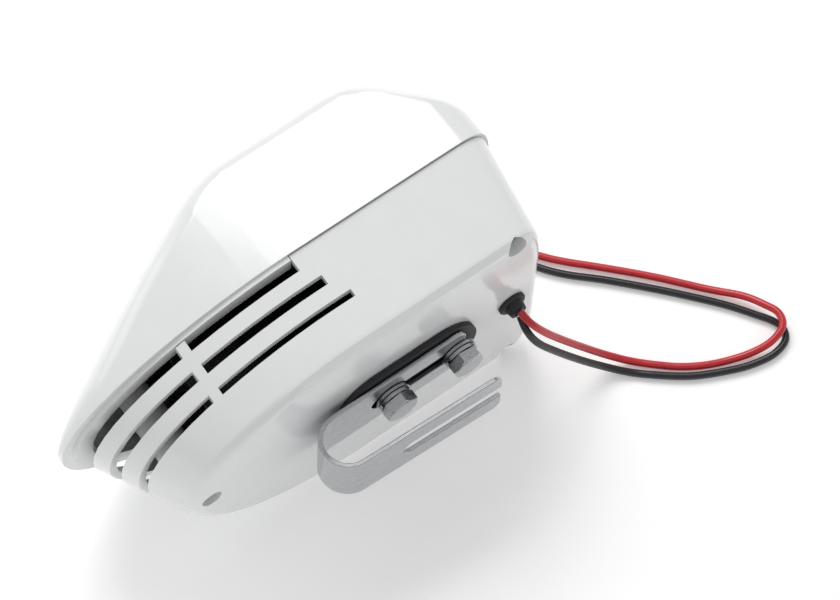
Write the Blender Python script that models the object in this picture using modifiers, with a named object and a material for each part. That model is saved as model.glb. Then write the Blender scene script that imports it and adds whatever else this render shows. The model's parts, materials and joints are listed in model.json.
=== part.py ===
"""Alarm siren: a two-part louvred housing with a horn driver inside, on a slotted U bracket.

Every piece is modelled in the siren's own axes, with X across towards the upper flank, Y from
the lip to the rear and Z from the base to the hood, and the parting line at Z = 0. The empty
`siren_axes` then lays the siren on one flank, on its parting edge and the base's edge, because
its weight sits behind the parting line and so that is how it rests on a table: world +Z
is up off the table, world +Y runs to the rear, and the base and its bracket face world +X.
The two free leads are routed in world coordinates, because they lie on the table.

Units are metres, with +Z up.
"""

import math

import bmesh
import bpy
from mathutils import Matrix, Vector

MM = 0.001
GAP = 0.3 * MM  # between pieces that touch on the real siren

# Housing, seen from above
LENGTH = 160.0 * MM
HALF_WIDTH = 45.0 * MM
NOSE_LENGTH = 85.0 * MM  # from the lip to where the flanks reach full width
NOSE_POWER = 1.8
REAR_LENGTH = 20.0 * MM
REAR_POWER = 5.0

# Hood, seen from the side
HOOD_HEIGHT = 40.0 * MM
LIP_HEIGHT = 2.4 * MM
FRONT_SLOPE_END = 78.0 * MM
REAR_SLOPE_START = LENGTH - 27.0 * MM
REAR_WALL_HEIGHT = 12.5 * MM
CREASE_RADIUS = 9.0 * MM
HOOD_EDGE_RADIUS = 8.0 * MM
FLANK_DRAFT = math.radians(3.2)
WALL = 2.6 * MM

# Lower shell
BASE_DEPTH = 36.5 * MM
BASE_THICKNESS = 3.0 * MM
BASE_EDGE_RADIUS = 3.5 * MM
OVERHANG = 0.9 * MM  # of the hood, all round the parting line
NOSE_STEP = 4.0 * MM  # how far the lower shell starts behind the lip
NOSE_RAKE = 0.56  # how far the nose runs back for each unit down
FLANK_TAPER = 1.5 * MM
REAR_TAPER = 5.5 * MM

# Louvre slots: how far below the parting line each starts and ends, and where it ends at the rear
SLOTS = (
    (0.0 * MM, 6.0 * MM, 84.0 * MM),
    (10.8 * MM, 14.3 * MM, 88.5 * MM),
    (19.4 * MM, 22.0 * MM, 93.0 * MM),
)
SKIRT_HEIGHT = 1.8 * MM  # of the hood's flange that hangs into the first slot
SKIRT_DEPTH = 6.0 * MM
SLOT_RIB_Y = 42.8 * MM
SLOT_RIB_WIDTH = 3.2 * MM

# Housing screws
REAR_SCREW_X = HALF_WIDTH - 6.2 * MM
REAR_SCREW_Y = LENGTH - 17.0 * MM
SCREW_PLACES = ((0.0, 30.0 * MM), (REAR_SCREW_X, REAR_SCREW_Y), (-REAR_SCREW_X, REAR_SCREW_Y))
SCREW_RADIUS = 1.75 * MM
SCREW_HEAD_RADIUS = 2.7 * MM
SCREW_HEAD_HEIGHT = 2.2 * MM
SCREW_LENGTH = 38.0 * MM
RECESS_RADIUS = 3.5 * MM
RECESS_DEPTH = 6.0 * MM
BOSS_RADIUS = 5.6 * MM

# Bracket and its fixings
BRACKET_WIDTH = 22.0 * MM
BRACKET_THICKNESS = 1.5 * MM
BRACKET_HEIGHT = 18.6 * MM  # outside to outside, at the bend
BRACKET_FRONT = 63.0 * MM
BRACKET_REAR = 122.5 * MM
BRACKET_SPREAD = math.radians(1.7)
BRACKET_CORNER = 3.5 * MM
BOLT_SPACING = 25.0 * MM
FRONT_BOLT_Y = 94.4 * MM
BOLT_RADIUS = 3.0 * MM
BOLT_LENGTH = 13.0 * MM
BOLT_HEAD_ACROSS_FLATS = 10.0 * MM
BOLT_HEAD_HEIGHT = 3.6 * MM
BOLT_HEAD_TURNS = (math.radians(-10.0), math.radians(19.0))
SLOT_CLEARANCE = 0.4 * MM  # round a bolt in the bracket's slots
SLOT_TRAVEL = 4.0 * MM  # room for the bracket to slide on its bolts, each way
FORK_START = 86.4 * MM
WASHER_RADIUS = 6.0 * MM
FLAT_WASHER_THICKNESS = 0.9 * MM
SPRING_WASHER_RADIUS = 5.6 * MM
SPRING_WASHER_THICKNESS = 1.1 * MM
PAD_THICKNESS = 1.6 * MM
PAD_WIDTH = 28.0 * MM
PAD_FRONT = 76.0 * MM
PAD_REAR = 128.0 * MM
INSERT_RADIUS = 5.0 * MM
INSERT_DEPTH = 6.0 * MM

# Cable outlet and leads
OUTLET_Y = LENGTH - 17.5 * MM
GROMMET_FLANGE_RADIUS = 4.8 * MM
GROMMET_NECK_RADIUS = 3.9 * MM
GROMMET_FLANGE_THICKNESS = 1.2 * MM
GROMMET_TIP = 4.0 * MM
LEAD_RADIUS = 1.25 * MM
LEAD_SPACING = 2.9 * MM
LEAD_TIP_LENGTH = 6.0 * MM
LEAD_TIP_RADIUS = 0.7 * MM

# Horn and driver, on an axis along Y
DRIVER_Z = 3.0 * MM
HORN_MOUTH_Y = 40.0 * MM
HORN_MOUTH_Z = -9.0 * MM
HORN_MOUTH_HALF = (24.0 * MM, 21.0 * MM)
HORN_THROAT_Y = 98.0 * MM
HORN_THROAT_RADIUS = 9.0 * MM
HORN_WALL = 1.8 * MM
HORN_FLANGE_HALF = (33.0 * MM, 21.0 * MM)
HORN_FLANGE_THICKNESS = 2.5 * MM
HORN_SCREW_X = 29.0 * MM
DRIVER_RADIUS = 23.0 * MM
YOKE_RADIUS = 21.0 * MM
COIL_RADIUS = 12.5 * MM
COIL_THICKNESS = 0.6 * MM
COIL_CLEARANCE = 0.4 * MM
DIAPHRAGM_TRAVEL = 0.3 * MM

# Electronics
BOARD_WIDTH = 60.0 * MM
BOARD_HEIGHT = 32.0 * MM
BOARD_THICKNESS = 1.6 * MM
BOARD_Y = LENGTH - 17.5 * MM
BOARD_BOTTOM = -24.0 * MM
TERMINAL_PITCH = 5.0 * MM
TERMINAL_DEPTH = 6.0 * MM
TERMINAL_Z = -16.0 * MM

# Routes of the free leads, in world axes measured from the table below the cable outlet: out
# from the base, to the rear, and up off the table
RED_ROUTE_MM = (
    (4.9, 0.0, 43.5), (9.2, 0.7, 42.0), (11.8, 3.8, 36.6), (12.9, 9.2, 27.0), (14.8, 16.8, 15.2),
    (18.0, 24.0, 6.2), (22.8, 30.2, 2.0), (28.5, 36.0, 1.5), (33.8, 42.0, 1.5), (38.0, 48.6, 1.5),
    (41.2, 56.0, 1.5), (43.6, 63.4, 2.2), (44.6, 70.0, 3.8), (42.8, 75.6, 4.8), (38.4, 77.4, 4.9),
    (33.2, 75.8, 4.4), (26.3, 72.6, 3.2), (17.0, 65.4, 1.8), (3.7, 54.8, 1.5), (-8.3, 44.0, 1.5),
    (-17.2, 35.6, 1.5), (-23.5, 30.4, 1.5), (-30.0, 26.4, 1.5), (-38.0, 24.2, 1.5),
    (-48.0, 22.5, 1.5), (-58.0, 18.5, 1.5), (-67.0, 11.0, 1.5), (-74.0, 1.0, 1.5),
    (-78.2, -12.0, 1.5), (-80.0, -27.0, 1.5), (-80.3, -42.0, 1.5), (-80.3, -56.0, 1.5),
)
BLACK_ROUTE_MM = (
    (4.9, 0.0, 40.6), (9.4, -0.8, 38.6), (12.6, 1.2, 33.0), (14.9, 6.8, 24.0), (17.6, 14.4, 13.2),
    (20.8, 21.6, 5.0), (25.6, 27.6, 1.7), (31.2, 33.6, 1.5), (38.6, 43.0, 1.5), (44.2, 54.0, 1.5),
    (46.8, 61.4, 1.5), (47.8, 68.4, 1.5), (46.2, 74.2, 1.5), (42.2, 76.4, 1.5), (38.0, 75.2, 1.5),
    (33.1, 72.2, 1.5), (25.8, 67.4, 1.5), (17.6, 61.0, 1.5), (7.1, 52.2, 1.5), (-4.9, 41.4, 1.5),
    (-13.6, 32.8, 1.5), (-20.6, 27.4, 1.5), (-28.4, 23.3, 1.5), (-38.0, 21.1, 1.5),
    (-47.3, 19.7, 1.5), (-56.6, 16.0, 1.5), (-64.9, 8.9, 1.5), (-71.5, -0.4, 1.5),
    (-75.4, -12.8, 1.5), (-77.1, -27.3, 1.5), (-77.4, -42.0, 1.5), (-77.4, -54.0, 1.5),
)

# Sizes that follow from the ones above
BRACKET_TOP = -BASE_DEPTH - PAD_THICKNESS - 2 * GAP
WASHER_TOP = BRACKET_TOP - BRACKET_THICKNESS - GAP
HEAD_TOP = WASHER_TOP - FLAT_WASHER_THICKNESS - SPRING_WASHER_THICKNESS - 2 * GAP
BOLT_PLACES = (FRONT_BOLT_Y, FRONT_BOLT_Y + BOLT_SPACING)
BASE_INSIDE = BASE_THICKNESS - BASE_DEPTH
RECESS_FLOOR = RECESS_DEPTH - BASE_DEPTH
FLANGE_BACK = HORN_THROAT_Y + HORN_FLANGE_THICKNESS
FAR = 200.0 * MM  # past every edge of the siren


# ---------------------------------------------------------------- scene and materials


def clear_scene():
    for old in list(bpy.data.objects):
        bpy.data.objects.remove(old, do_unlink=True)


def make_collection(name):
    collection = bpy.data.collections.new(name)
    bpy.context.scene.collection.children.link(collection)
    return collection


def make_material(name, colour, roughness, metallic=0.0):
    material = bpy.data.materials.new(name)
    material.use_nodes = True
    shader = material.node_tree.nodes["Principled BSDF"]
    shader.inputs["Base Color"].default_value = (*colour, 1.0)
    shader.inputs["Roughness"].default_value = roughness
    shader.inputs["Metallic"].default_value = metallic
    material.diffuse_color = (*colour, 1.0)
    return material


clear_scene()
PARTS = make_collection("alarm_siren")
CUTTERS = make_collection("cutters")

WHITE = make_material("white_abs", (0.86, 0.86, 0.87), 0.25)
BLACK = make_material("black_abs", (0.02, 0.02, 0.022), 0.4)
RUBBER = make_material("black_rubber", (0.025, 0.025, 0.027), 0.65)
STAINLESS = make_material("stainless_steel", (0.62, 0.61, 0.6), 0.22, 1.0)
PLATED = make_material("zinc_plated_steel", (0.55, 0.56, 0.58), 0.35, 1.0)
BRASS = make_material("brass", (0.7, 0.52, 0.22), 0.3, 1.0)
FERRITE = make_material("ferrite", (0.06, 0.06, 0.065), 0.7)
PHENOLIC = make_material("phenolic_cloth", (0.3, 0.16, 0.07), 0.6)
COPPER = make_material("copper", (0.75, 0.36, 0.2), 0.3, 1.0)
TINNED = make_material("tinned_copper", (0.7, 0.69, 0.67), 0.35, 1.0)
LAMINATE = make_material("green_laminate", (0.03, 0.16, 0.07), 0.45)
RED_PVC = make_material("red_pvc", (0.6, 0.015, 0.02), 0.35)
BLACK_PVC = make_material("black_pvc", (0.015, 0.015, 0.016), 0.35)
SLEEVE = make_material("blue_sleeve", (0.05, 0.08, 0.25), 0.4)

siren_axes = bpy.data.objects.new("siren_axes", None)
bpy.context.scene.collection.objects.link(siren_axes)


# ---------------------------------------------------------------- making solids


def add_object(name, mesh, material=None):
    """A piece when it has a material, and a cutter when it has none."""
    made = bpy.data.objects.new(name, mesh)
    if material:
        mesh.materials.append(material)
        PARTS.objects.link(made)
    else:
        CUTTERS.objects.link(made)
        made.hide_render = True
        made.display_type = "WIRE"
    made.parent = siren_axes
    return made


def from_bmesh(name, bm, material=None):
    """An object of the closed shape in bm, with its faces turned outwards."""
    bmesh.ops.remove_doubles(bm, verts=bm.verts, dist=0.001 * MM)
    bmesh.ops.recalc_face_normals(bm, faces=bm.faces)
    mesh = bpy.data.meshes.new(name)
    bm.to_mesh(mesh)
    bm.free()
    return add_object(name, mesh, material)


def extrude(name, outline, step, material=None):
    """A flat outline of 3-D points, extruded along the vector step."""
    bm = bmesh.new()
    face = bm.faces.new([bm.verts.new(point) for point in outline])
    raised = bmesh.ops.extrude_face_region(bm, geom=[face])["geom"]
    moved = [item for item in raised if isinstance(item, bmesh.types.BMVert)]
    bmesh.ops.translate(bm, verts=moved, vec=step)
    return from_bmesh(name, bm, material)


def loft(name, rings, material=None, closed_ends=True, joined=False):
    """A skin over rings that have the same number of points; joined closes it on itself."""
    bm = bmesh.new()
    levels = [[bm.verts.new(point) for point in ring] for ring in rings]
    pairs = list(zip(levels, levels[1:]))
    if joined:
        pairs.append((levels[-1], levels[0]))
    for low, high in pairs:
        for i in range(len(low)):
            j = (i + 1) % len(low)
            bm.faces.new((low[i], low[j], high[j], high[i]))
    if closed_ends and not joined:
        bm.faces.new(levels[0])
        bm.faces.new(levels[-1])
    bmesh.ops.triangulate(bm, faces=[face for face in bm.faces if len(face.verts) == 4])
    return from_bmesh(name, bm, material)


def box(name, low, high, material=None):
    """A box between two corners, in the siren's axes."""
    bm = bmesh.new()
    bmesh.ops.create_cube(bm, size=1.0)
    size = Vector(high) - Vector(low)
    bmesh.ops.scale(bm, vec=size, verts=bm.verts)
    bmesh.ops.translate(bm, vec=(Vector(high) + Vector(low)) / 2, verts=bm.verts)
    return from_bmesh(name, bm, material)


def cylinder(name, radius, start, end, material=None, sides=32, end_radius=None, turn=0.0):
    """A round bar or cone from start to end; turn rotates it about its axis."""
    start, end = Vector(start), Vector(end)
    bm = bmesh.new()
    bmesh.ops.create_cone(
        bm,
        cap_ends=True,
        segments=sides,
        radius1=radius,
        radius2=radius if end_radius is None else end_radius,
        depth=(end - start).length,
    )
    aim = (end - start).to_track_quat("Z", "Y").to_matrix().to_4x4()
    place = Matrix.Translation((start + end) / 2) @ aim @ Matrix.Rotation(turn, 4, "Z")
    bmesh.ops.transform(bm, matrix=place, verts=bm.verts)
    return from_bmesh(name, bm, material)


def turned(name, profile, base, axis, material=None, sides=40):
    """A profile of (radius, distance along axis), a closed line, turned about the axis at base."""
    aim = Vector(axis).to_track_quat("Z", "Y").to_matrix().to_4x4()
    place = Matrix.Translation(base) @ aim
    rings = []
    for i in range(sides):
        about = Matrix.Rotation(2 * math.pi * i / sides, 4, "Z")
        rings.append([place @ about @ Vector((r, 0.0, along)) for r, along in profile])
    return loft(name, rings, material, joined=True)


def ring(name, inner, outer, start, end, axis_at, material=None, sides=40):
    """A flat ring about an axis along Y, from start to end; axis_at is the axis's (x, z)."""
    profile = ((inner, start), (outer, start), (outer, end), (inner, end))
    return turned(name, profile, (axis_at[0], 0.0, axis_at[1]), (0.0, 1.0, 0.0), material, sides)


def stadium(centre, half_length, radius, steps=16):
    """A slot's outline, long along Y, as (x, y) points."""
    points = []
    for end, first in ((1, 0.0), (-1, math.pi)):
        for i in range(steps + 1):
            angle = first + math.pi * i / steps
            x = centre[0] + radius * math.cos(angle)
            y = centre[1] + end * half_length + radius * math.sin(angle)
            points.append((x, y))
    return points


def slab(name, outline, low, high, material=None):
    """An (x, y) outline extruded from Z = low to Z = high."""
    return extrude(name, [(x, y, low) for x, y in outline], (0.0, 0.0, high - low), material)


def boolean(target, operation, *others):
    for other in others:
        step = target.modifiers.new(f"{operation.lower()} {other.name}", "BOOLEAN")
        step.operation = operation
        step.object = other
        step.solver = "EXACT"
    return target


def cut(target, *cutters):
    return boolean(target, "DIFFERENCE", *cutters)


def join(target, *pieces):
    return boolean(target, "UNION", *pieces)


def keep_inside(target, *limits):
    return boolean(target, "INTERSECT", *limits)


# ---------------------------------------------------------------- housing


def half_width_at(y, nose, rear, half_width):
    """Half the width of a plan outline that runs from y = nose to y = rear."""
    if y < NOSE_LENGTH:
        ahead = min(1.0, (NOSE_LENGTH - y) / (NOSE_LENGTH - nose))
        return half_width * math.sqrt(1 - ahead**NOSE_POWER)
    behind = min(1.0, max(0.0, (y - rear + REAR_LENGTH) / REAR_LENGTH))
    if behind > 1 - 1e-9:
        return 0.0
    return half_width * (1 - behind**REAR_POWER) ** (1 / REAR_POWER)


def plan_stations(nose, rear, steps=14):
    """Values of y that give a plan outline smooth ends."""
    front = [
        NOSE_LENGTH - (NOSE_LENGTH - nose) * math.cos(math.pi / 2 * i / steps) ** (2 / NOSE_POWER)
        for i in range(steps + 1)
    ]
    back = [
        rear - REAR_LENGTH * (1 - math.sin(math.pi / 2 * i / steps) ** (2 / REAR_POWER))
        for i in range(steps + 1)
    ]
    return front + back


def plan_outline(nose, rear, half_width):
    """Closed (x, y) outline, anticlockwise from the nose."""
    right = [(half_width_at(y, nose, rear, half_width), y) for y in plan_stations(nose, rear)]
    left = [(-x, y) for x, y in reversed(right[1:-1])]
    return right + left


def rounded_line(points, radius, steps=4):
    """The (y, z) line through points, with its inner corners rounded by a parabola."""
    line = [Vector(points[0])]
    for before, corner, after in zip(points, points[1:], points[2:]):
        before, corner, after = Vector(before), Vector(corner), Vector(after)
        reach = min(radius, (corner - before).length * 0.45, (after - corner).length * 0.45)
        start = corner + (before - corner).normalized() * reach
        end = corner + (after - corner).normalized() * reach
        for i in range(steps + 1):
            t = i / steps
            line.append((1 - t) ** 2 * start + 2 * t * (1 - t) * corner + t**2 * end)
    line.append(Vector(points[-1]))
    return line


ROOF_LINE = rounded_line(
    (
        (0.0, LIP_HEIGHT),
        (FRONT_SLOPE_END, HOOD_HEIGHT),
        (REAR_SLOPE_START, HOOD_HEIGHT),
        (LENGTH, REAR_WALL_HEIGHT),
    ),
    CREASE_RADIUS,
)


def roof_at(y):
    """Height of the hood's roof above the parting line."""
    for low, high in zip(ROOF_LINE, ROOF_LINE[1:]):
        if y <= high.x:
            share = (y - low.x) / (high.x - low.x)
            return low.y + share * (high.y - low.y)
    return ROOF_LINE[-1].y


def hood_section(y, half_width, roof, edge_radius, floor):
    """One closed cross-section of the hood at y, from its right rim over the roof to its left."""
    radius = min(edge_radius, 0.7 * max(roof, 0.0), 0.8 * half_width)
    drafted = half_width - (roof - radius) * math.tan(FLANK_DRAFT) - radius
    right = [(half_width, floor), (half_width, 0.0)]
    for i in range(6):
        angle = math.pi / 2 * i / 5
        right.append(
            (
                max(0.0, drafted + radius * math.cos(angle)),
                roof - radius + radius * math.sin(angle),
            )
        )
    left = [(-x, z) for x, z in reversed(right)]
    return [(x, y, z) for x, z in right + left]


def hood_solid(name, inset, nose, floor, material=None):
    """The hood's outer shape, or its hollow when inset is the wall."""
    rear = LENGTH - inset
    knees = [point.x for point in ROOF_LINE if nose < point.x < rear - GAP]
    stations = sorted(plan_stations(nose, rear) + knees)
    sections = []
    for y in stations:
        half_width = half_width_at(y, nose, rear, HALF_WIDTH - inset)
        shade = min(1.0, (rear - y) / (0.4 * MM))
        roof = (roof_at(y) - inset) * (0.65 + 0.35 * shade)
        sections.append(hood_section(y, half_width, roof, HOOD_EDGE_RADIUS - inset, floor))
    return loft(name, sections, material)


def lower_outline(depth, inset=0.0, nose_inset=None):
    """The lower shell's plan outline at a depth below the parting line."""
    share = depth / BASE_DEPTH
    nose = NOSE_STEP + NOSE_RAKE * depth + (inset if nose_inset is None else nose_inset)
    rear = LENGTH - OVERHANG - REAR_TAPER * share - inset
    half_width = HALF_WIDTH - OVERHANG - FLANK_TAPER * share - inset
    return plan_outline(nose, rear, half_width)


def lower_solid(name, inset, bottom, top, edge_radius, material=None):
    """The lower shell's outer shape, or its hollow when inset is the wall."""
    depth = -bottom
    wall_end = edge_radius - depth
    levels = [top + (wall_end - top) * i / 4 for i in range(4)]
    rings = [[(x, y, z) for x, y in lower_outline(max(0.0, -z), inset)] for z in levels]
    for i in range(5):
        angle = math.pi / 2 * i / 4
        z = -depth + edge_radius * (1 - math.sin(angle))
        rounding = edge_radius * (1 - math.cos(angle))
        rings.append([(x, y, z) for x, y in lower_outline(-z, inset + rounding)])
    return loft(name, rings, material)


def bosses(prefix, radius, low, high):
    """The columns round the housing screws, as cutters' helpers."""
    return [
        cylinder(f"{prefix}_{i}", radius, (x, y, low), (x, y, high))
        for i, (x, y) in enumerate(SCREW_PLACES)
    ]


def make_hood():
    """The upper shell, with the flange that closes the first slot and the screw columns."""
    shell = hood_solid("hood_shell", 0.0, 0.0, 0.0, WHITE)
    hollow = hood_solid("hood_hollow", WALL, NOSE_STEP + SKIRT_DEPTH + 1.3 * MM, -5 * MM)
    cut(hollow, *bosses("hood_boss", BOSS_RADIUS, -6 * MM, FAR))
    flange = slab("skirt", lower_outline(0.0), -SKIRT_HEIGHT, 1.5 * MM)
    opening = slab("skirt_opening", lower_outline(0.0, SKIRT_DEPTH), -5 * MM, 5 * MM)
    end = box("skirt_end", (-FAR, SLOTS[0][2] - GAP, -5 * MM), (FAR, FAR, 5 * MM))
    cut(flange, opening, end)
    pilots = [
        cylinder(f"hood_pilot_{i}", SCREW_RADIUS + GAP, (x, y, -6 * MM), (x, y, 8 * MM))
        for i, (x, y) in enumerate(SCREW_PLACES)
    ]
    cut(shell, hollow)
    join(shell, flange)
    cut(shell, *pilots)


def slot_cutters():
    """Two boxes for each louvre slot, one either side of its rib."""
    rib_front, rib_back = SLOT_RIB_Y - SLOT_RIB_WIDTH / 2, SLOT_RIB_Y + SLOT_RIB_WIDTH / 2
    made = []
    for number, (top, bottom, end) in enumerate(SLOTS, 1):
        high = -top if top else 5 * MM
        made.append(box(f"slot_{number}_front", (-FAR, -FAR, -bottom), (FAR, rib_front, high)))
        made.append(box(f"slot_{number}_rear", (-FAR, rib_back, -bottom), (FAR, end, high)))
    notch = -SKIRT_HEIGHT - GAP
    made.append(box("rib_notch", (-FAR, rib_front - MM, notch), (FAR, rib_back + MM, 5 * MM)))
    return made


def board_rail(side):
    """A grooved rail on the floor of the lower shell that holds one edge of the circuit board."""
    edge = side * BOARD_WIDTH / 2
    ends = sorted((edge - side * 2.5 * MM, edge + side * 3.0 * MM))
    rail = box(
        f"board_rail_{side:+d}",
        (ends[0], BOARD_Y - 3 * MM, BASE_INSIDE - MM),
        (ends[1], BOARD_Y + 3 * MM, -6 * MM),
    )
    groove_ends = sorted((edge - side * FAR, edge + side * GAP))
    groove = box(
        f"board_groove_{side:+d}",
        (groove_ends[0], BOARD_Y - BOARD_THICKNESS / 2 - GAP, BOARD_BOTTOM - GAP),
        (groove_ends[1], BOARD_Y + BOARD_THICKNESS / 2 + GAP, FAR),
    )
    return cut(rail, groove)


def make_lower():
    """The lower shell, with its louvre slots, screw columns, insert bosses and rails."""
    shell = lower_solid("lower_shell", 0.0, -BASE_DEPTH, -GAP, BASE_EDGE_RADIUS, WHITE)
    hollow = lower_solid("lower_hollow", WALL, BASE_INSIDE, 6 * MM, 2 * MM)
    cut(hollow, *bosses("lower_boss", BOSS_RADIUS + 0.6 * MM, -FAR, FAR))
    slots = slot_cutters()
    front_boss = cylinder(
        "front_boss_keep",
        BOSS_RADIUS + 0.6 * MM,
        (*SCREW_PLACES[0], -BASE_DEPTH),
        (*SCREW_PLACES[0], FAR),
    )
    for slot in slots:
        cut(slot, front_boss)
    cut(shell, hollow, *slots)
    flank_limit = lower_solid("rail_limit", WALL / 2, -BASE_DEPTH + MM, 6 * MM, 2 * MM)
    for y in BOLT_PLACES:
        column = cylinder(
            f"insert_boss_{y / MM:.0f}",
            INSERT_RADIUS + 2.5 * MM,
            (0.0, y, BASE_INSIDE - MM),
            (0.0, y, BASE_INSIDE + INSERT_DEPTH),
        )
        join(shell, column)
    for side in (-1, 1):
        post = box(
            f"horn_post_{side:+d}",
            (side * HORN_SCREW_X - 4 * MM, FLANGE_BACK + GAP, BASE_INSIDE - MM),
            (side * HORN_SCREW_X + 4 * MM, FLANGE_BACK + 9 * MM, -4 * MM),
        )
        join(shell, post)
        pilot = cylinder(
            f"horn_pilot_{side:+d}",
            1.5 * MM + GAP,
            (side * HORN_SCREW_X, FLANGE_BACK - MM, -10 * MM),
            (side * HORN_SCREW_X, FLANGE_BACK + 7 * MM, -10 * MM),
            sides=24,
        )
        cut(shell, pilot)
        join(shell, keep_inside(board_rail(side), flank_limit))
    for i, (x, y) in enumerate(SCREW_PLACES):
        recess = cylinder(f"recess_{i}", RECESS_RADIUS, (x, y, -FAR), (x, y, RECESS_FLOOR))
        shank = cylinder(f"screw_hole_{i}", SCREW_RADIUS + GAP, (x, y, -FAR), (x, y, MM))
        cut(shell, recess, shank)
    for y in BOLT_PLACES:
        seat = cylinder(
            f"insert_seat_{y / MM:.0f}",
            INSERT_RADIUS + GAP,
            (0.0, y, BASE_INSIDE - GAP),
            (0.0, y, FAR),
            sides=32,
        )
        bolt_hole = cylinder(
            f"bolt_hole_{y / MM:.0f}", BOLT_RADIUS + GAP, (0.0, y, -FAR), (0.0, y, FAR)
        )
        cut(shell, seat, bolt_hole)
    outlet = cylinder(
        "outlet",
        GROMMET_NECK_RADIUS + GAP,
        (0.0, OUTLET_Y, -FAR),
        (0.0, OUTLET_Y, BASE_INSIDE + MM),
    )
    cut(shell, outlet)


def make_housing_screws():
    """Three pan-head screws, up through the lower shell into the hood's columns."""
    seat = RECESS_FLOOR - GAP
    for i, (x, y) in enumerate(SCREW_PLACES):
        profile = (
            (0.0, -SCREW_HEAD_HEIGHT),
            (0.55 * SCREW_HEAD_RADIUS, -SCREW_HEAD_HEIGHT),
            (0.9 * SCREW_HEAD_RADIUS, -0.7 * SCREW_HEAD_HEIGHT),
            (SCREW_HEAD_RADIUS, -0.25 * SCREW_HEAD_HEIGHT),
            (SCREW_HEAD_RADIUS, 0.0),
            (SCREW_RADIUS, 0.0),
            (SCREW_RADIUS, SCREW_LENGTH - 3 * MM),
            (0.0, SCREW_LENGTH),
        )
        place = (x, y, seat)
        screw = turned(f"housing_screw_{i + 1}", profile, place, (0, 0, 1), STAINLESS, sides=20)
        for turn in (0, 1):
            arm, width = 2.2 * MM, 0.35 * MM
            half = (arm, width) if turn else (width, arm)
            cross = box(
                f"screw_cross_{i}_{turn}",
                (x - half[0], y - half[1], -FAR),
                (x + half[0], y + half[1], seat - SCREW_HEAD_HEIGHT + 1.1 * MM),
            )
            cut(screw, cross)


# ---------------------------------------------------------------- bracket and its fixings


def bracket_profile():
    """The U strip seen from the side, as (y, z) points: its outside, then its inside."""
    outer = BRACKET_HEIGHT / 2
    inner = outer - BRACKET_THICKNESS
    bend_y, bend_z = BRACKET_FRONT + outer, BRACKET_TOP - outer
    reach = BRACKET_REAR - bend_y

    def side(radius):
        points = [(bend_y + reach, bend_z + radius)]
        steps = 24
        sweep = math.pi - BRACKET_SPREAD
        for i in range(steps + 1):
            angle = math.pi / 2 + sweep * i / steps
            points.append((bend_y + radius * math.cos(angle), bend_z + radius * math.sin(angle)))
        last_y, last_z = points[-1]
        run = reach + MM
        points.append(
            (
                last_y + run * math.cos(BRACKET_SPREAD),
                last_z - run * math.sin(BRACKET_SPREAD),
            )
        )
        return points

    return side(outer) + list(reversed(side(inner)))


def make_bracket():
    """A strip bent to a U: a closed slot for the siren's bolts, and an open fork for the wall's."""
    half = BRACKET_WIDTH / 2
    outline = [(-half, y, z) for y, z in bracket_profile()]
    strip = extrude("bracket", outline, (BRACKET_WIDTH, 0.0, 0.0), STAINLESS)
    plan = [(half, BRACKET_FRONT - MM)]
    for corner_x, first in ((half - BRACKET_CORNER, 0.0), (BRACKET_CORNER - half, math.pi / 2)):
        for i in range(7):
            angle = first + math.pi / 2 * i / 6
            plan.append(
                (
                    corner_x + BRACKET_CORNER * math.cos(angle),
                    BRACKET_REAR - BRACKET_CORNER + BRACKET_CORNER * math.sin(angle),
                )
            )
    plan.append((-half, BRACKET_FRONT - MM))
    blank = slab("bracket_blank", plan, -FAR, 0.0)
    blank.scale = (1.01, 1.0, 1.0)
    keep_inside(strip, blank)
    slot_radius = BOLT_RADIUS + SLOT_CLEARANCE
    middle = (BOLT_PLACES[0] + BOLT_PLACES[1]) / 2
    split = BRACKET_TOP - BRACKET_HEIGHT / 2
    closed_slot = slab(
        "bolt_slot",
        stadium((0.0, middle), BOLT_SPACING / 2 + SLOT_TRAVEL, slot_radius),
        split,
        0.0,
    )
    fork_centre = (0.0, FORK_START + slot_radius + FAR / 2)
    fork = slab("fork_slot", stadium(fork_centre, FAR / 2, slot_radius), -FAR, split)
    cut(strip, closed_slot, fork)
    softened = strip.modifiers.new("edges", "BEVEL")
    softened.width = 0.25 * MM
    softened.segments = 2
    softened.limit_method = "ANGLE"
    softened.angle_limit = math.radians(50)


def make_pad():
    """The rubber pad between the base and the bracket, with two bolt holes."""
    half = PAD_WIDTH / 2
    centre = (0.0, (PAD_FRONT + PAD_REAR) / 2)
    top = -BASE_DEPTH - GAP
    outline = stadium(centre, (PAD_REAR - PAD_FRONT) / 2 - half, half, steps=24)
    pad = slab("mounting_pad", outline, top - PAD_THICKNESS, top, RUBBER)
    for y in BOLT_PLACES:
        cut(pad, cylinder(f"pad_hole_{y / MM:.0f}", BOLT_RADIUS + GAP, (0, y, -FAR), (0, y, FAR)))


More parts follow.
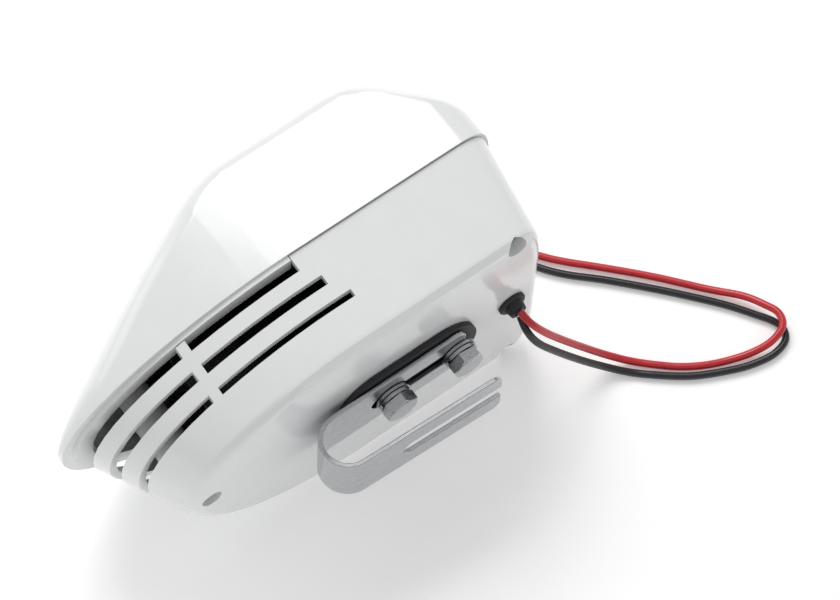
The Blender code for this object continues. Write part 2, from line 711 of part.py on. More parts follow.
def make_bolts():
    """Two hexagon bolts, each with a flat washer, a spring washer and an insert in the base."""
    down = (0.0, 0.0, -1.0)
    for number, (y, head_turn) in enumerate(zip(BOLT_PLACES, BOLT_HEAD_TURNS), 1):
        corner = BOLT_HEAD_ACROSS_FLATS / math.sqrt(3)
        head = cylinder(
            f"bracket_bolt_{number}",
            corner,
            (0.0, y, HEAD_TOP),
            (0.0, y, HEAD_TOP - BOLT_HEAD_HEIGHT),
            STAINLESS,
            sides=6,
            turn=head_turn + math.radians(30),
        )
        chamfer_drop = 0.55 * MM
        chamfer = turned(
            f"bolt_chamfer_{number}",
            (
                (0.0, -MM),
                (corner + MM, -MM),
                (corner + MM, BOLT_HEAD_HEIGHT - chamfer_drop),
                (corner, BOLT_HEAD_HEIGHT - chamfer_drop),
                (BOLT_HEAD_ACROSS_FLATS * 0.475, BOLT_HEAD_HEIGHT),
                (0.0, BOLT_HEAD_HEIGHT),
            ),
            (0.0, y, HEAD_TOP),
            down,
        )
        keep_inside(head, chamfer)
        shank = cylinder(
            f"bolt_shank_{number}",
            BOLT_RADIUS,
            (0.0, y, HEAD_TOP - MM),
            (0.0, y, HEAD_TOP + BOLT_LENGTH),
            sides=32,
        )
        join(head, shank)
        hole = BOLT_RADIUS + GAP
        washer_profile = (
            (hole, 0.0),
            (WASHER_RADIUS, 0.0),
            (WASHER_RADIUS, FLAT_WASHER_THICKNESS),
            (hole, FLAT_WASHER_THICKNESS),
        )
        turned(f"flat_washer_{number}", washer_profile, (0, y, WASHER_TOP), down, STAINLESS)
        spring_profile = (
            (hole, 0.0),
            (SPRING_WASHER_RADIUS, 0.0),
            (SPRING_WASHER_RADIUS, SPRING_WASHER_THICKNESS),
            (hole, SPRING_WASHER_THICKNESS),
        )
        spring_top = WASHER_TOP - FLAT_WASHER_THICKNESS - GAP
        place = (0, y, spring_top)
        spring = turned(f"spring_washer_{number}", spring_profile, place, down, STAINLESS)
        split = box(f"spring_split_{number}", (0.0, -0.35 * MM, -FAR), (FAR, 0.35 * MM, FAR))
        split.location = (0.0, y, 0.0)
        split.rotation_euler = (0.0, 0.0, math.radians(-65))
        cut(spring, split)
        insert_profile = (
            (hole, 0.0),
            (INSERT_RADIUS - 0.8 * MM, 0.0),
            (INSERT_RADIUS - 0.8 * MM, INSERT_DEPTH * 0.4),
            (INSERT_RADIUS, INSERT_DEPTH * 0.4),
            (INSERT_RADIUS, INSERT_DEPTH),
            (hole, INSERT_DEPTH),
        )
        place = (0, y, BASE_INSIDE)
        turned(f"threaded_insert_{number}", insert_profile, place, (0, 0, 1), BRASS)


# ---------------------------------------------------------------- cable outlet and leads


def make_grommet():
    """The rubber plug in the base that grips both leads: a flange each side of the wall."""
    outside = -BASE_DEPTH - GAP
    inside = BASE_INSIDE + GAP
    flange, neck = GROMMET_FLANGE_RADIUS, GROMMET_NECK_RADIUS
    profile = (
        (0.0, outside - GROMMET_TIP),
        (0.72 * neck, outside - GROMMET_TIP),
        (0.86 * neck, outside - GROMMET_FLANGE_THICKNESS),
        (flange - 0.4 * MM, outside - GROMMET_FLANGE_THICKNESS),
        (flange, outside - 0.6 * GROMMET_FLANGE_THICKNESS),
        (flange, outside),
        (neck, outside),
        (neck, inside),
        (flange, inside),
        (flange - 0.6 * MM, inside + GROMMET_FLANGE_THICKNESS),
        (0.0, inside + GROMMET_FLANGE_THICKNESS),
    )
    turned("cable_grommet", profile, (0.0, OUTLET_Y, 0.0), (0.0, 0.0, 1.0), RUBBER, sides=28)


def smooth_route(points, steps):
    """Points on a Catmull-Rom curve through the route's own points."""
    route = [Vector(point) for point in points]
    route = [2 * route[0] - route[1], *route, 2 * route[-1] - route[-2]]
    line = []
    for a, b, c, d in zip(route, route[1:], route[2:], route[3:]):
        for i in range(steps):
            t = i / steps
            line.append(
                0.5
                * (
                    2 * b
                    + (c - a) * t
                    + (2 * a - 5 * b + 4 * c - d) * t**2
                    + (3 * b - a - 3 * c + d) * t**3
                )
            )
    line.append(route[-2])
    return line


def tube(name, points, radius, material, parent=None):
    """A wire as a curve with a round section and closed ends."""
    curve = bpy.data.curves.new(name, "CURVE")
    curve.dimensions = "3D"
    curve.bevel_depth = radius
    curve.bevel_resolution = 2
    curve.use_fill_caps = True
    spline = curve.splines.new("POLY")
    spline.points.add(len(points) - 1)
    for slot, point in zip(spline.points, points):
        slot.co = (*point, 1.0)
    curve.materials.append(material)
    made = bpy.data.objects.new(name, curve)
    made.parent = parent
    PARTS.objects.link(made)
    return made


def make_free_leads(outlet):
    """The two leads that lie on the table, with stripped and tinned ends."""
    for name, route, material in (
        ("red_lead", RED_ROUTE_MM, RED_PVC),
        ("black_lead", BLACK_ROUTE_MM, BLACK_PVC),
    ):
        points = [
            Vector((outlet.x + out * MM, outlet.y + rear * MM, up * MM)) for out, rear, up in route
        ]
        tube(name, smooth_route(points, 2), LEAD_RADIUS, material)
        along = (points[-1] - points[-2]).normalized()
        start = points[-1] + GAP * along
        tube(f"{name}_tip", [start, start + LEAD_TIP_LENGTH * along], LEAD_TIP_RADIUS, TINNED)


def make_inner_leads():
    """The ends of the two leads inside the housing, from the grommet to the terminal block."""
    start_z = BASE_INSIDE + 2 * GAP + GROMMET_FLANGE_THICKNESS
    terminal_y = BOARD_Y - BOARD_THICKNESS / 2 - GAP
    for name, side, material in (("red", 1, RED_PVC), ("black", -1, BLACK_PVC)):
        x = side * LEAD_SPACING / 2
        clamp = side * TERMINAL_PITCH / 2
        front = terminal_y - TERMINAL_DEPTH - GAP
        route = (
            (x, OUTLET_Y, start_z),
            (x, OUTLET_Y - 0.7 * MM, start_z + 3.5 * MM),
            ((x + clamp) / 2, OUTLET_Y - 5 * MM, start_z + 7.5 * MM),
            (clamp, front - 4.8 * MM, TERMINAL_Z - 5.5 * MM),
            (clamp, front - 5.6 * MM, TERMINAL_Z - 2.2 * MM),
            (clamp, front - 3.2 * MM, TERMINAL_Z),
            (clamp, front, TERMINAL_Z),
        )
        tube(f"{name}_inner_lead", smooth_route(route, 3), LEAD_RADIUS, material, siren_axes)


# ---------------------------------------------------------------- horn and driver


def rounded_rectangle(half_x, half_z, radius, corner_steps=6):
    """(x, z) points round a rectangle with round corners, anticlockwise."""
    points = []
    centres = ((1, 1), (-1, 1), (-1, -1), (1, -1))
    for quarter, (side_x, side_z) in enumerate(centres):
        for i in range(corner_steps + 1):
            angle = math.pi / 2 * (quarter + i / corner_steps)
            points.append(
                (
                    side_x * (half_x - radius) + radius * math.cos(angle),
                    side_z * (half_z - radius) + radius * math.sin(angle),
                )
            )
    return points


def horn_rings(grow, front, back):
    """Sections of the horn from mouth to throat, made larger all round by grow."""
    rings = []
    steps = 10
    for i in range(steps + 1):
        share = i / steps
        y = front + (back - front) * share
        flare = (1 - share) ** 1.7
        half_x = HORN_THROAT_RADIUS + (HORN_MOUTH_HALF[0] - HORN_THROAT_RADIUS) * flare + grow
        half_z = HORN_THROAT_RADIUS + (HORN_MOUTH_HALF[1] - HORN_THROAT_RADIUS) * flare + grow
        radius = min(half_x, half_z) * (0.35 + 0.64 * share)
        centre_z = HORN_MOUTH_Z + (DRIVER_Z - HORN_MOUTH_Z) * share
        section = rounded_rectangle(half_x, half_z, radius)
        rings.append([(x, y, centre_z + z) for x, z in section])
    return rings


def make_horn():
    """The flared horn with its mounting flange, and the two screws that hold it."""
    horn = loft("horn", horn_rings(HORN_WALL, HORN_MOUTH_Y, FLANGE_BACK), BLACK)
    half_x, half_z = HORN_FLANGE_HALF
    flange = box(
        "horn_flange",
        (-half_x, HORN_THROAT_Y, DRIVER_Z - half_z),
        (half_x, FLANGE_BACK, DRIVER_Z + half_z),
    )
    inside = loft("horn_inside", horn_rings(0.0, HORN_MOUTH_Y - 0.1 * MM, FLANGE_BACK + 0.1 * MM))
    join(horn, flange)
    cut(horn, inside)
    for number, side in enumerate((-1, 1), 1):
        x, z = side * HORN_SCREW_X, -10 * MM
        hole = cylinder(
            f"flange_hole_{side:+d}",
            1.5 * MM + GAP,
            (x, HORN_THROAT_Y - MM, z),
            (x, FLANGE_BACK + MM, z),
            sides=24,
        )
        cut(horn, hole)
        profile = (
            (0.0, -1.8 * MM),
            (2.4 * MM, -1.8 * MM),
            (2.8 * MM, -GAP),
            (1.5 * MM, -GAP),
            (1.5 * MM, 8.5 * MM),
            (0.0, 8.5 * MM),
        )
        place = (x, HORN_THROAT_Y, z)
        turned(f"horn_screw_{number}", profile, place, (0, 1, 0), PLATED, sides=24)


def make_driver():
    """The compression driver, from the throat gasket back to its cover."""
    at = (0.0, DRIVER_Z)
    bore = COIL_RADIUS - COIL_CLEARANCE
    pole_radius = bore
    plate_bore = COIL_RADIUS + COIL_THICKNESS + COIL_CLEARANCE
    front = FLANGE_BACK + GAP
    ring("throat_gasket", 11 * MM, DRIVER_RADIUS - MM, front, front + MM, at, RUBBER)
    front += MM + GAP
    clamp_end = front + 4 * MM
    clamp = ring("diaphragm_clamp_ring", 14.5 * MM, DRIVER_RADIUS, front, clamp_end, at, BLACK)
    recess = ring(
        "clamp_recess", 13 * MM, 17.5 * MM, clamp_end - 2.6 * MM, clamp_end + MM, at
    )
    cut(clamp, recess)
    plate_start = clamp_end + GAP
    plate_end = plate_start + 4 * MM
    ring("driver_top_plate", plate_bore, DRIVER_RADIUS, plate_start, plate_end, at, PLATED)
    magnet_end = plate_end + GAP + 9 * MM
    ring("driver_magnet", 15.5 * MM, YOKE_RADIUS, plate_end + GAP, magnet_end, at, FERRITE)
    yoke_start = magnet_end + GAP
    yoke_profile = (
        (0.0, plate_start),
        (pole_radius, plate_start),
        (pole_radius, yoke_start),
        (YOKE_RADIUS, yoke_start),
        (YOKE_RADIUS, yoke_start + 3.5 * MM),
        (0.0, yoke_start + 3.5 * MM),
    )
    axis_point = (0.0, 0.0, DRIVER_Z)
    turned("driver_yoke", yoke_profile, axis_point, (0, 1, 0), PLATED)
    cover_back = yoke_start + 3.5 * MM + GAP
    cover_profile = (
        (0.0, cover_back),
        (YOKE_RADIUS + GAP, cover_back),
        (YOKE_RADIUS + GAP, plate_end + GAP),
        (DRIVER_RADIUS, plate_end + GAP),
        (DRIVER_RADIUS, cover_back + MM),
        (DRIVER_RADIUS - 1.5 * MM, cover_back + 1.6 * MM),
        (0.0, cover_back + 1.6 * MM),
    )
    turned("driver_cover", cover_profile, axis_point, (0, 1, 0), BLACK)
    rim_y = clamp_end - 1.3 * MM
    dome_rise = 3.6 * MM
    dome = [
        (COIL_RADIUS * math.sin(a), rim_y - dome_rise * math.cos(a))
        for a in (math.pi / 2 * i / 5 for i in range(6))
    ]
    back = [(r, y + 0.5 * MM) for r, y in reversed(dome)]
    outer = [(17 * MM, rim_y), (17 * MM, rim_y + 0.4 * MM)]
    surround = [(14.8 * MM, rim_y - 0.5 * MM)]
    surround_back = [(14.8 * MM, rim_y - 0.1 * MM)]
    diaphragm_profile = dome + surround + outer + surround_back + back
    turned("diaphragm", diaphragm_profile, axis_point, (0, 1, 0), PHENOLIC, sides=32)
    coil_start = rim_y + 0.5 * MM + GAP
    ring(
        "voice_coil",
        COIL_RADIUS,
        COIL_RADIUS + COIL_THICKNESS,
        coil_start,
        coil_start + 6 * MM,
        at,
        COPPER,
    )
    return cover_back + 1.6 * MM


# ---------------------------------------------------------------- electronics


def make_board():
    """The driver circuit: a board held upright in two rails, with its components."""
    half = BOARD_WIDTH / 2
    front = BOARD_Y - BOARD_THICKNESS / 2
    top = BOARD_BOTTOM + BOARD_HEIGHT
    box("circuit_board", (-half, front, BOARD_BOTTOM), (half, front + BOARD_THICKNESS, top), LAMINATE)
    face = front - GAP
    sizes = ((-20 * MM, 3.2 * MM, 8 * MM), (-12 * MM, 2.5 * MM, 6 * MM))
    for number, (x, radius, height) in enumerate(sizes, 1):
        profile = (
            (0.0, 0.0),
            (radius, 0.0),
            (radius, height - 0.4 * MM),
            (radius - 0.4 * MM, height),
            (0.0, height),
        )
        place = (x, face, 0.0)
        turned(f"capacitor_{number}", profile, place, (0, -1, 0), SLEEVE, sides=32)
    for number, x in enumerate((16 * MM, 23 * MM), 1):
        low = (x - 2.4 * MM, face - 1.6 * MM, -4 * MM)
        high = (x + 2.4 * MM, face, 3 * MM)
        box(f"power_transistor_{number}", low, high, BLACK)
    box("tone_chip", (2 * MM, face - 2.4 * MM, -4 * MM), (11 * MM, face, 3 * MM), BLACK)
    core = (-14 * MM, 0.0, -15 * MM)
    coil = ((2.6 * MM, 0.0), (5.4 * MM, 0.0), (5.4 * MM, 4.0 * MM), (2.6 * MM, 4.0 * MM))
    turned("choke", coil, (core[0], face, core[2]), (0, -1, 0), COPPER, sides=40)
    block = box(
        "terminal_block",
        (-TERMINAL_PITCH, face - TERMINAL_DEPTH, TERMINAL_Z - 3.5 * MM),
        (TERMINAL_PITCH, face, TERMINAL_Z + 3.5 * MM),
        SLEEVE,
    )
    for side in (-1, 1):
        screw_well = cylinder(
            f"terminal_well_{side:+d}",
            1.4 * MM,
            (side * TERMINAL_PITCH / 2, face - TERMINAL_DEPTH / 2, TERMINAL_Z + 2 * MM),
            (side * TERMINAL_PITCH / 2, face - TERMINAL_DEPTH / 2, TERMINAL_Z + 6 * MM),
            sides=20,
        )
        cut(block, screw_well)


def make_driver_wires(cover_end):
    """The two thin wires from the board to the tags on the driver's cover."""
    for side in (-1, 1):
        x = side * 5 * MM
        board_end = (x, BOARD_Y - BOARD_THICKNESS / 2 - 2 * GAP, 6 * MM)
        sag = (x + side * 2 * MM, (board_end[1] + cover_end) / 2, 9 * MM)
        driver_end = (x, cover_end + GAP, 11 * MM)
        route = (board_end, sag, driver_end)
        name = "driver_wire_upper" if side > 0 else "driver_wire_lower"
        tube(name, smooth_route(route, 4), 0.6 * MM, BLACK_PVC, siren_axes)


# ---------------------------------------------------------------- assembly


def flank_lean():
    """The lean that brings the parting edge and the lower shell's base edge onto one level."""
    lower = PARTS.objects["lower_shell"].evaluated_get(bpy.context.evaluated_depsgraph_get())
    edges = [(HALF_WIDTH - abs(v.co.x), -v.co.z) for v in lower.to_mesh().vertices]
    lower.to_mesh_clear()
    return min(math.atan2(inset, down) for inset, down in edges if down > BASE_DEPTH / 2)


def stand_on_table():
    """Lays the siren on its flank, with its box centred on the world's origin and on z = 0."""
    siren_axes.rotation_euler = (0.0, flank_lean() - math.radians(90), 0.0)
    bpy.context.view_layer.update()
    graph = bpy.context.evaluated_depsgraph_get()
    corners = []
    for piece in PARTS.objects:
        shape = piece.evaluated_get(graph)
        mesh = shape.to_mesh()
        corners += [shape.matrix_world @ vertex.co for vertex in mesh.vertices]
        shape.to_mesh_clear()
    low = [min(corner[k] for corner in corners) for k in range(3)]
    high = [max(corner[k] for corner in corners) for k in range(3)]
    siren_axes.location = (-(low[0] + high[0]) / 2, -(low[1] + high[1]) / 2, -low[2])
    bpy.context.view_layer.update()


def main():
    make_hood()
    make_lower()
    make_housing_screws()
    make_pad()
    make_bracket()
    make_bolts()
    make_grommet()
    make_horn()
    cover_end = make_driver()
    make_board()
    make_inner_leads()
    make_driver_wires(cover_end)
    stand_on_table()
    outlet = siren_axes.matrix_world @ Vector((0.0, OUTLET_Y, -BASE_DEPTH))
    make_free_leads(outlet)


if __name__ == "__main__":
    main()
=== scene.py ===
"""Looks of the alarm siren: a louvred ABS housing on a slotted steel bracket, with two leads.

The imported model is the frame. Hard pieces keep their own shape and take smooth shading and a
procedural finish, and the bracket also has its edges rounded. The two free leads are replaced
with smooth round cords.
"""

import json
import logging
import math
from dataclasses import dataclass
from enum import Enum

import bmesh
import bpy
from mathutils import Matrix, Vector


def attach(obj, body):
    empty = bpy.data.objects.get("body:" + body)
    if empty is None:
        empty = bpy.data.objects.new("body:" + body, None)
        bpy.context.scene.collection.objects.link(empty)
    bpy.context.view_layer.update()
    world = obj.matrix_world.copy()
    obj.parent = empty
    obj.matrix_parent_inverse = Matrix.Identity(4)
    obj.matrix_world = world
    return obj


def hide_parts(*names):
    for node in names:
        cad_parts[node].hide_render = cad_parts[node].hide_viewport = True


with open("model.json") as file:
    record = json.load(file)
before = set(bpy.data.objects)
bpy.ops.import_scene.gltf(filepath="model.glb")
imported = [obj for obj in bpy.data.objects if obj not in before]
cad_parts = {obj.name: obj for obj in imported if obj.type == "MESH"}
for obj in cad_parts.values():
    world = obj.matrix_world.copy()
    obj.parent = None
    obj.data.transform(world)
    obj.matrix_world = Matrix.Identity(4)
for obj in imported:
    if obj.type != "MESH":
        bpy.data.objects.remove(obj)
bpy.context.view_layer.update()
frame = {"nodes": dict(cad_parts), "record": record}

logging.basicConfig(level=logging.INFO, format="%(message)s")
LOG = logging.getLogger("alarm_siren")
MM = 0.001

JOIN_DISTANCE = 0.005 * MM  # loose corners this close are one corner
FLAT_ANGLE = math.radians(0.6)  # faces that meet at less than this are one face
SHELL_EDGE_ANGLE = math.radians(20)
FACE_WEIGHT = 80  # how strongly a large face sets the shading of its edges
COAT_ROUGHNESS = 0.06
TABLE_GLOW = 0.22
SURROUND_STRENGTH = 0.52


def linear(hex_colour: str) -> tuple[float, float, float, float]:
    """Turns an sRGB hex colour into linear light.

    Args:
        hex_colour: six hex digits.

    Returns:
        Red, green, blue and alpha.
    """
    parts = [int(hex_colour[i : i + 2], 16) / 255 for i in (0, 2, 4)]
    r, g, b = (c / 12.92 if c <= 0.04045 else ((c + 0.055) / 1.055) ** 2.4 for c in parts)
    return (r, g, b, 1.0)


def add_node(
    tree: bpy.types.NodeTree, kind: str, values: dict, **settings: object
) -> bpy.types.Node:
    """Adds a node with its settings, socket values and incoming links.

    Args:
        tree: the node tree.
        kind: the node's type name.
        values: a value or an output socket for each input, by name or number.
        settings: the node's own properties.

    Returns:
        The node.
    """
    node = tree.nodes.new(kind)
    for name, setting in settings.items():
        setattr(node, name, setting)
    for key, value in values.items():
        if isinstance(value, bpy.types.NodeSocket):
            tree.links.new(value, node.inputs[key])
        else:
            node.inputs[key].default_value = value
    return node


def per_metre(grain_mm: tuple[float, float, float]) -> tuple[float, ...]:
    """Turns the size of a pattern's grain on each axis into a scale for Object coordinates."""
    return tuple(1 / (size * MM) for size in grain_mm)


@dataclass(frozen=True)
class Finish:
    """A surface whose colour, gloss and relief vary with one real grain.

    The colour runs between `dark` and `light`, the roughness between the two of `gloss`, and the
    relief stands `relief_mm` proud.
    """

    name: str
    dark: str
    light: str
    gloss: tuple[float, float]
    grain_mm: tuple[float, float, float]
    relief_mm: float = 0.01
    metallic: float = 0.0
    coat: float = 0.0
    ior: float = 1.5

    def material(self) -> bpy.types.Material:
        """Builds the material.

        Returns:
            The node material.
        """
        made = bpy.data.materials.new(self.name)
        made.use_nodes = True
        tree = made.node_tree
        shader = tree.nodes["Principled BSDF"]
        place = add_node(tree, "ShaderNodeTexCoord", {})
        scaled = add_node(
            tree,
            "ShaderNodeMapping",
            {"Vector": place.outputs["Object"], "Scale": per_metre(self.grain_mm)},
        )
        grain = add_node(
            tree,
            "ShaderNodeTexNoise",
            {"Vector": scaled.outputs["Vector"], "Scale": 1.0, "Detail": 3.0, "Roughness": 0.55},
        )
        tint = add_node(
            tree,
            "ShaderNodeMix",
            {0: grain.outputs["Fac"], 6: linear(self.dark), 7: linear(self.light)},
            data_type="RGBA",
        )
        rough = add_node(
            tree,
            "ShaderNodeMapRange",
            {"Value": grain.outputs["Fac"], "To Min": self.gloss[0], "To Max": self.gloss[1]},
        )
        relief = add_node(
            tree,
            "ShaderNodeBump",
            {"Height": grain.outputs["Fac"], "Distance": self.relief_mm * MM, "Strength": 1.0},
        )
        tree.links.new(tint.outputs[2], shader.inputs["Base Color"])
        tree.links.new(rough.outputs["Result"], shader.inputs["Roughness"])
        tree.links.new(relief.outputs["Normal"], shader.inputs["Normal"])
        shader.inputs["Metallic"].default_value = self.metallic
        shader.inputs["Coat Weight"].default_value = self.coat
        shader.inputs["Coat Roughness"].default_value = COAT_ROUGHNESS
        if not self.metallic:
            shader.inputs["IOR"].default_value = self.ior
        return made


class Slot(Enum):
    """The finish of each material slot of the record."""

    # Moulded ABS from a polished tool: bright, with broad soft gloss and a barely visible ripple.
    white_shell = Finish(
        "gloss_white_abs", "E9EAEB", "EFF0F0", (0.14, 0.2), (9, 9, 9), 0.012, coat=0.25, ior=1.53
    )
    # Spark-eroded ABS: an even satin black that only shows its edges.
    black_plastic = Finish(
        "satin_black_abs", "0E0F10", "191A1C", (0.36, 0.5), (0.5, 0.5, 0.5), 0.02
    )
    # Moulded EPDM: dark grey-black, dull, with a fine cured skin.
    black_rubber = Finish(
        "moulded_epdm", "1A1B1D", "2A2B2E", (0.5, 0.68), (0.45, 0.45, 0.45), 0.03
    )
    # Stainless strip brushed along its length. Real grit lines are 0.1 mm and are drawn at 0.35.
    stainless_steel = Finish(
        "brushed_stainless", "9FA2A5", "D2D4D6", (0.2, 0.36), (0.35, 14, 0.35), 0.006, 1.0
    )
    # Bright zinc: a cool grey with a slightly cloudy gloss.
    plated_steel = Finish(
        "bright_zinc_plate", "8F9396", "B4B7B8", (0.25, 0.4), (2, 2, 2), 0.004, 1.0
    )
    # Turned brass: warm yellow with faint tool marks.
    brass = Finish("turned_brass", "A8823C", "C9A65A", (0.24, 0.38), (0.3, 0.3, 4), 0.006, 1.0)
    # Sintered ferrite: ground, dark and grainy.
    ferrite = Finish("ground_ferrite", "2B2C2E", "3D3E40", (0.45, 0.62), (0.4, 0.4, 0.4), 0.02)
    # Resin-bonded cloth film: brown, with a woven mottle.
    phenolic = Finish("phenolic_film", "3A2414", "5A3A20", (0.4, 0.55), (0.5, 0.5, 0.5), 0.01)
    # Enamelled winding wire: copper under a clear lacquer.
    copper = Finish(
        "enamelled_copper", "8A4524", "B9683A", (0.2, 0.34), (0.4, 0.4, 0.4), 0.02, 1.0, coat=0.5
    )
    # Tin-dipped strands: bright, uneven solder.
    tinned_copper = Finish(
        "tinned_strands", "A9A9A6", "D4D3CF", (0.22, 0.4), (0.35, 3, 0.35), 0.03, 1.0
    )
    # Glass-fibre laminate under green solder resist.
    laminate = Finish(
        "green_solder_resist", "0E4A2A", "176A3C", (0.25, 0.4), (0.6, 0.6, 0.6), 0.01
    )
    # Extruded PVC: saturated, with long soft highlights.
    red_pvc = Finish(
        "extruded_red_pvc", "B81824", "D42834", (0.24, 0.34), (4, 4, 4), 0.01, coat=0.2
    )
    black_pvc = Finish(
        "extruded_black_pvc", "141518", "202126", (0.24, 0.34), (4, 4, 4), 0.01, coat=0.2
    )
    # Shrunk PET sleeve on a capacitor: dark blue and glossy.
    sleeve = Finish("shrunk_blue_sleeve", "141E40", "1E2C58", (0.2, 0.32), (3, 3, 3), 0.01)


MATERIALS = {slot: slot.value.material() for slot in Slot}


def smooth_group() -> bpy.types.NodeTree:
    """Builds the modifier group that shades a whole mesh smooth.

    Returns:
        The geometry node group.
    """
    group = bpy.data.node_groups.new("shade_smooth", "GeometryNodeTree")
    group.interface.new_socket("Geometry", in_out="INPUT", socket_type="NodeSocketGeometry")
    group.interface.new_socket("Geometry", in_out="OUTPUT", socket_type="NodeSocketGeometry")
    start = group.nodes.new("NodeGroupInput")
    shade = add_node(group, "GeometryNodeSetShadeSmooth", {0: start.outputs[0]})
    add_node(group, "NodeGroupOutput", {0: shade.outputs[0]})
    return group


@dataclass
class CarriedPieces:
    """Hard pieces that keep the frame's shape, with a softened edge where `edge_mm` is set."""

    label: str
    names: tuple[str, ...]
    edge_mm: float = 0.0
    edge_angle: float = math.radians(38)

    def soften(self, piece: bpy.types.Object, smooth: bpy.types.NodeTree) -> None:
        """Joins the loose triangles, rounds the edges if `edge_mm` is set, and shades the faces.

        Args:
            piece: the frame's object.
            smooth: the group that shades smooth.
        """
        weld = piece.modifiers.new("join", "WELD")
        weld.merge_threshold = JOIN_DISTANCE
        flat = piece.modifiers.new("flat faces", "DECIMATE")
        flat.decimate_type = "DISSOLVE"
        flat.angle_limit = FLAT_ANGLE
        if self.edge_mm:
            edge = piece.modifiers.new("edge", "BEVEL")
            edge.width = self.edge_mm * MM
            edge.segments = 2
            edge.limit_method = "ANGLE"
            edge.angle_limit = self.edge_angle
            edge.use_clamp_overlap = True
        shade = piece.modifiers.new("smooth", "NODES")
        shade.node_group = smooth
        if not self.edge_mm:
            split = piece.modifiers.new("hard edges", "EDGE_SPLIT")
            split.split_angle = self.edge_angle
        even = piece.modifiers.new("even shading", "WEIGHTED_NORMAL")
        even.weight = FACE_WEIGHT
        even.keep_sharp = False

    def dress(self, smooth: bpy.types.NodeTree, slots: dict[str, str]) -> None:
        """Softens each piece and gives it its slot's material.

        Args:
            smooth: the group that shades smooth.
            slots: each node's material slot.
        """
        for name in self.names:
            piece = frame["nodes"][name]
            self.soften(piece, smooth)
            piece.data.materials.clear()
            piece.data.materials.append(MATERIALS[Slot[slots[name]]])
            LOG.info("%s: %s", self.label, name)


@dataclass
class Lead:
    """A free lead that leaves the grommet, loops on the table and ends behind the hood.

    `route_mm` is measured from the point on the table below the outlet: out from the base, to the
    rear, and up.
    """

    name: str
    slot: Slot
    route_mm: tuple[tuple[float, float, float], ...]
    length: float
    outlet_mm: tuple[float, float] = (27.91, 62.5)
    diameter_mm: float = 2.5

    def points(self) -> list[Vector]:
        """The route in the frame, in metres."""
        out, rear = self.outlet_mm
        return [Vector((x + out, y + rear, z)) * MM for x, y, z in self.route_mm]

    def build(self) -> bpy.types.Object:
        """Returns:
            The curve.
        """
        points = self.points()
        curve = bpy.data.curves.new(f"{self.name}_cord", "CURVE")
        curve.dimensions = "3D"
        curve.bevel_depth = self.diameter_mm / 2 * MM
        curve.bevel_resolution = 5
        curve.resolution_u = 6
        curve.use_fill_caps = True
        spline = curve.splines.new("BEZIER")
        spline.bezier_points.add(len(points) - 1)
        ends = [2 * points[0] - points[1], *points, 2 * points[-1] - points[-2]]
        for knot, before, here, after in zip(spline.bezier_points, ends, points, ends[2:]):
            pull = (after - before) / 6
            knot.co, knot.handle_left, knot.handle_right = here, here - pull, here + pull
        piece = bpy.data.objects.new(f"{self.name}_cord", curve)
        bpy.context.scene.collection.objects.link(piece)
        curve.materials.append(MATERIALS[self.slot])
        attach(piece, "housing")
        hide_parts(self.name)
        LOG.info("lead: %s", piece.name)
        return piece


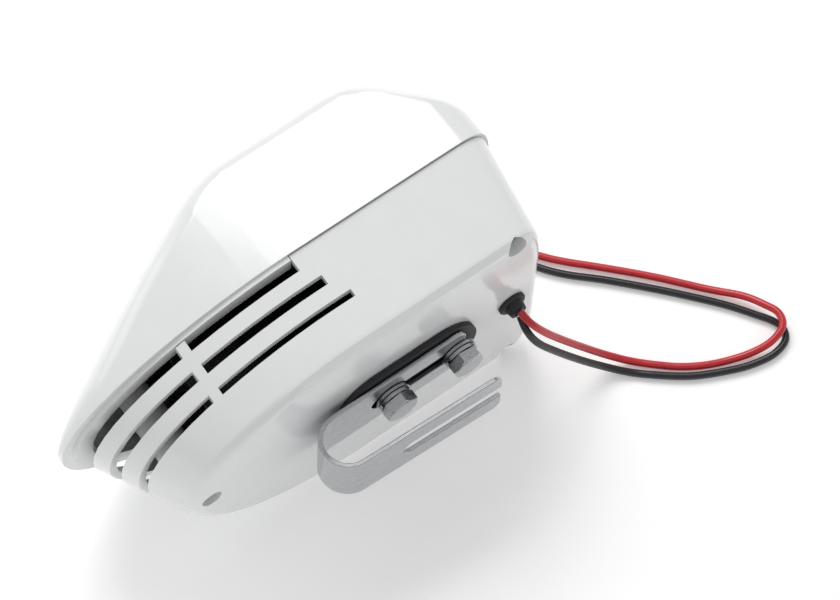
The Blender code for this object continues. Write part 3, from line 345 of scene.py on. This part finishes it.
@dataclass
class Studio:
    """A white table, soft boxes and a camera that looks down on the siren's base."""

    floor_size: float = 12.0
    aim: tuple[float, float, float] = (0.01367, 0.03837, 0.04943)
    azimuth: float = math.radians(54.98)
    elevation: float = math.radians(63.07)
    roll: float = math.radians(-1.32)
    distance: float = 1.5
    lens_mm: float = 209.4

    def lay_floor(self) -> None:
        """Lays the table."""
        bm = bmesh.new()
        bmesh.ops.create_grid(bm, x_segments=1, y_segments=1, size=self.floor_size / 2)
        mesh = bpy.data.meshes.new("table")
        bm.to_mesh(mesh)
        bm.free()
        table = bpy.data.objects.new("table", mesh)
        bpy.context.scene.collection.objects.link(table)
        # Matt laminate: a clean white with no grain to see.
        finish = Finish(
            "white_table_laminate", "FAFAFA", "FDFDFD", (0.75, 0.85), (40, 40, 40), 0.001
        )
        mesh.materials.append(finish.material())
        # A lit table: it glows evenly, so that no shadow shows on it.
        shader = mesh.materials[0].node_tree.nodes["Principled BSDF"]
        shader.inputs["Emission Color"].default_value = linear("FFFFFF")
        shader.inputs["Emission Strength"].default_value = TABLE_GLOW

    def light(
        self, name: str, place: tuple[float, float, float], size: float, watts: float
    ) -> None:
        """Adds a soft box that faces the siren.

        Args:
            name: the light's name.
            place: where it stands.
            size: the side of its square.
            watts: its power.
        """
        lamp = bpy.data.lights.new(name, "AREA")
        lamp.size, lamp.energy = size, watts
        box = bpy.data.objects.new(name, lamp)
        box.location = place
        towards = Vector(self.aim) - Vector(place)
        box.rotation_euler = towards.to_track_quat("-Z", "Y").to_euler()
        bpy.context.scene.collection.objects.link(box)

    def set_lights(self) -> None:
        """Sets an even white surround, a large top box and a weaker side box."""
        world = bpy.data.worlds.new("studio")
        world.use_nodes = True
        surround = world.node_tree.nodes["Background"]
        surround.inputs["Color"].default_value = linear("FFFFFF")
        surround.inputs["Strength"].default_value = SURROUND_STRENGTH
        bpy.context.scene.world = world
        self.light("top_box", (-1.2, 0.4, 1.7), 1.1, 21.0)
        self.light("side_box", (-1.3, -0.9, 1.0), 0.9, 3.0)

    def set_camera(self) -> None:
        """Places the camera at its azimuth, elevation and roll."""
        a, e = self.azimuth, self.elevation
        back = Vector((math.sin(a) * math.cos(e), -math.cos(a) * math.cos(e), math.sin(e)))
        level = Vector((math.cos(a), math.sin(a), 0.0))
        right = math.cos(self.roll) * level + math.sin(self.roll) * back.cross(level)
        turn = Matrix((right, back.cross(right), back)).transposed()
        lens = bpy.data.cameras.new("camera")
        lens.lens, lens.sensor_width = self.lens_mm, 36.0
        lens.clip_start, lens.clip_end = 0.05, 50.0
        camera = bpy.data.objects.new("camera", lens)
        place = Vector(self.aim) + self.distance * back
        camera.matrix_world = Matrix.Translation(place) @ turn.to_4x4()
        bpy.context.scene.collection.objects.link(camera)
        bpy.context.scene.camera = camera

    def build(self) -> None:
        """Builds the table, the lights and the camera."""
        self.lay_floor()
        self.set_lights()
        self.set_camera()
        bpy.context.scene.view_settings.view_transform = "Standard"
        LOG.info("studio: table, lights and camera")


RED_ROUTE_MM = (
    (4.9, 0.0, 43.5), (9.2, 0.7, 42.0), (11.8, 3.8, 36.6), (12.9, 9.2, 27.0), (14.8, 16.8, 15.2),
    (18.0, 24.0, 6.2), (22.8, 30.2, 2.0), (28.5, 36.0, 1.5), (33.8, 42.0, 1.5), (38.0, 48.6, 1.5),
    (41.2, 56.0, 1.5), (43.6, 63.4, 2.2), (44.6, 70.0, 3.8), (42.8, 75.6, 4.8), (38.4, 77.4, 4.9),
    (33.2, 75.8, 4.4), (26.3, 72.6, 3.2), (17.0, 65.4, 1.8), (3.7, 54.8, 1.5), (-8.3, 44.0, 1.5),
    (-17.2, 35.6, 1.5), (-23.5, 30.4, 1.5), (-30.0, 26.4, 1.5), (-38.0, 24.2, 1.5),
    (-48.0, 22.5, 1.5), (-58.0, 18.5, 1.5), (-67.0, 11.0, 1.5), (-74.0, 1.0, 1.5),
    (-78.2, -12.0, 1.5), (-80.0, -27.0, 1.5), (-80.3, -42.0, 1.5), (-80.3, -56.0, 1.5),
)
BLACK_ROUTE_MM = (
    (4.9, 0.0, 40.6), (9.4, -0.8, 38.6), (12.6, 1.2, 33.0), (14.9, 6.8, 24.0), (17.6, 14.4, 13.2),
    (20.8, 21.6, 5.0), (25.6, 27.6, 1.7), (31.2, 33.6, 1.5), (38.6, 43.0, 1.5), (44.2, 54.0, 1.5),
    (46.8, 61.4, 1.5), (47.8, 68.4, 1.5), (46.2, 74.2, 1.5), (42.2, 76.4, 1.5), (38.0, 75.2, 1.5),
    (33.1, 72.2, 1.5), (25.8, 67.4, 1.5), (17.6, 61.0, 1.5), (7.1, 52.2, 1.5), (-4.9, 41.4, 1.5),
    (-13.6, 32.8, 1.5), (-20.6, 27.4, 1.5), (-28.4, 23.3, 1.5), (-38.0, 21.1, 1.5),
    (-47.3, 19.7, 1.5), (-56.6, 16.0, 1.5), (-64.9, 8.9, 1.5), (-71.5, -0.4, 1.5),
    (-75.4, -12.8, 1.5), (-77.1, -27.3, 1.5), (-77.4, -42.0, 1.5), (-77.4, -54.0, 1.5),
)

SHELLS = CarriedPieces("shell", ("hood_shell", "lower_shell"), edge_angle=SHELL_EDGE_ANGLE)
BRACKET = CarriedPieces("bracket", ("bracket",), edge_mm=0.25)
PAD = CarriedPieces("pad", ("mounting_pad",))
LEADS = (
    Lead("red_lead", Slot.red_pvc, RED_ROUTE_MM, 0.310),
    Lead("black_lead", Slot.black_pvc, BLACK_ROUTE_MM, 0.307),
)


def main() -> None:
    """Dresses the frame's pieces, builds the leads and sets up the studio."""
    slots = {row["node"]: row["material_slot"] for row in frame["record"]["subparts"]}
    smooth = smooth_group()
    named = set(SHELLS.names + BRACKET.names + PAD.names) | {lead.name for lead in LEADS}
    small = CarriedPieces("fitting", tuple(sorted(set(frame["nodes"]) - named)))
    for pieces in (SHELLS, BRACKET, PAD, small):
        pieces.dress(smooth, slots)
    for lead in LEADS:
        lead.build()
    Studio().build()


if __name__ == "__main__":
    main()
